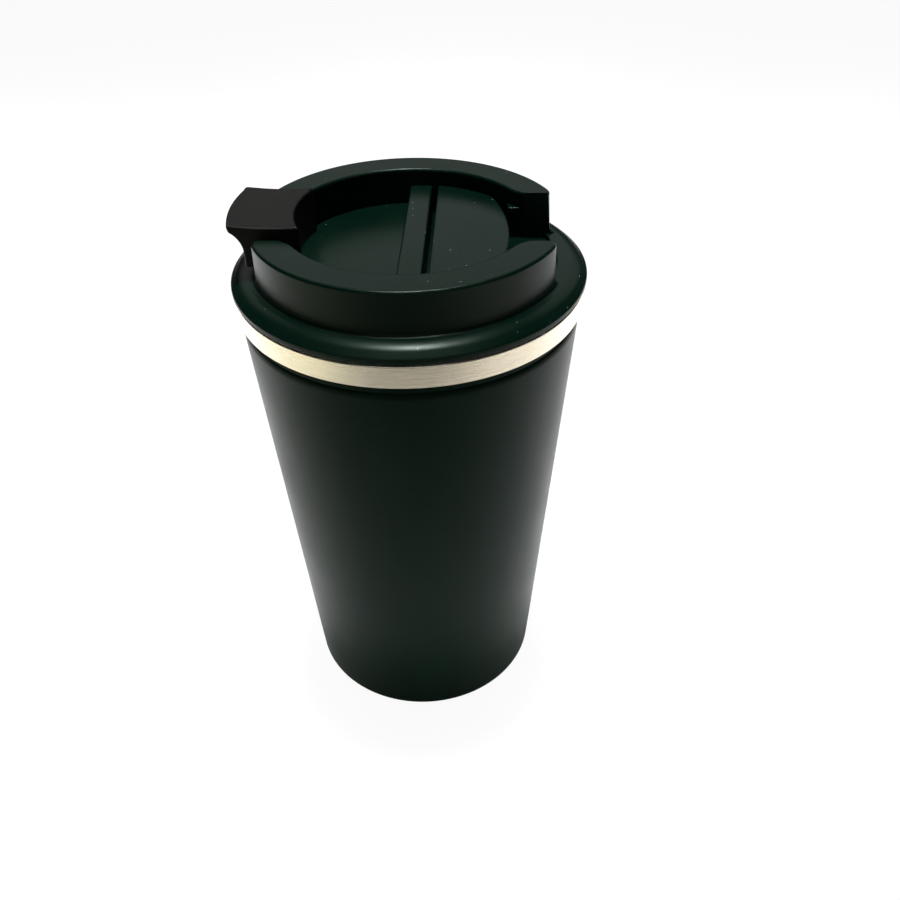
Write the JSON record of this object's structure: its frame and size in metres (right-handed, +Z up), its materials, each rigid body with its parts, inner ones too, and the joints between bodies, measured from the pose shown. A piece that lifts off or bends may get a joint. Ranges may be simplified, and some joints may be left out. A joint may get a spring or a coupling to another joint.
{
  "type": "insulated travel mug",
  "caption": "Tapered double-walled travel mug with a bare steel rim, a screw-in lid with a raised notched collar, and a flip-over flap with a thumb tab.",
  "frame": {"origin": "on the table under the middle of the cup", "axes": "+Z up along the cup's axis, -X towards the thumb tab and the drinking side, +Y away from someone who has the tab on their left"},
  "size_m": [0.09, 0.09, 0.1505],
  "materials": {
    "coating": "fine satin powder coat, green-black",
    "brushed_steel": "brushed round the mug",
    "solder": "dull",
    "getter_alloy": "sintered",
    "pad_rubber": "matte",
    "lid_plastic": "fine moulded grain, green-black",
    "silicone": "smooth",
    "tab_rubber": "matte, warm black"
  },
  "bodies": {
    "cup": {"outer_shell": "coating", "rim_ring": "brushed_steel", "inner_vessel": "brushed_steel", "base_disc": "brushed_steel", "vacuum_seal": "solder", "getter": "getter_alloy", "base_pad": "pad_rubber"},
    "gasket": {"lid_gasket": "silicone"},
    "lid": {"lid_cover": "lid_plastic", "lid_plug": "lid_plastic", "lid_liner": "lid_plastic", "rear_cover": "lid_plastic"},
    "flap": {"flap_plate": "lid_plastic", "thumb_tab": "tab_rubber", "flap_seal": "silicone", "hinge_pin": "brushed_steel"}
  },
  "joints": [
    {"name": "lid_rise", "type": "slide", "parent": "cup", "child": "gasket", "axis": [0, 0, 1], "range_m": [0, 0.02]},
    {"name": "lid_unscrew", "type": "hinge", "parent": "gasket", "child": "lid", "pos_m": [0, 0, 0.1344], "axis": [0, 0, 1], "range_deg": [0, 600]},
    {"name": "flap_hinge", "type": "hinge", "parent": "lid", "child": "flap", "pos_m": [0, 0, 0.1412], "axis": [0, 1, 0], "range_deg": [0, 170]}
  ],
  "couplings": [
    {"joint": "lid_rise", "follows": "lid_unscrew", "m_per_rad": 0.0019099}
  ]
}
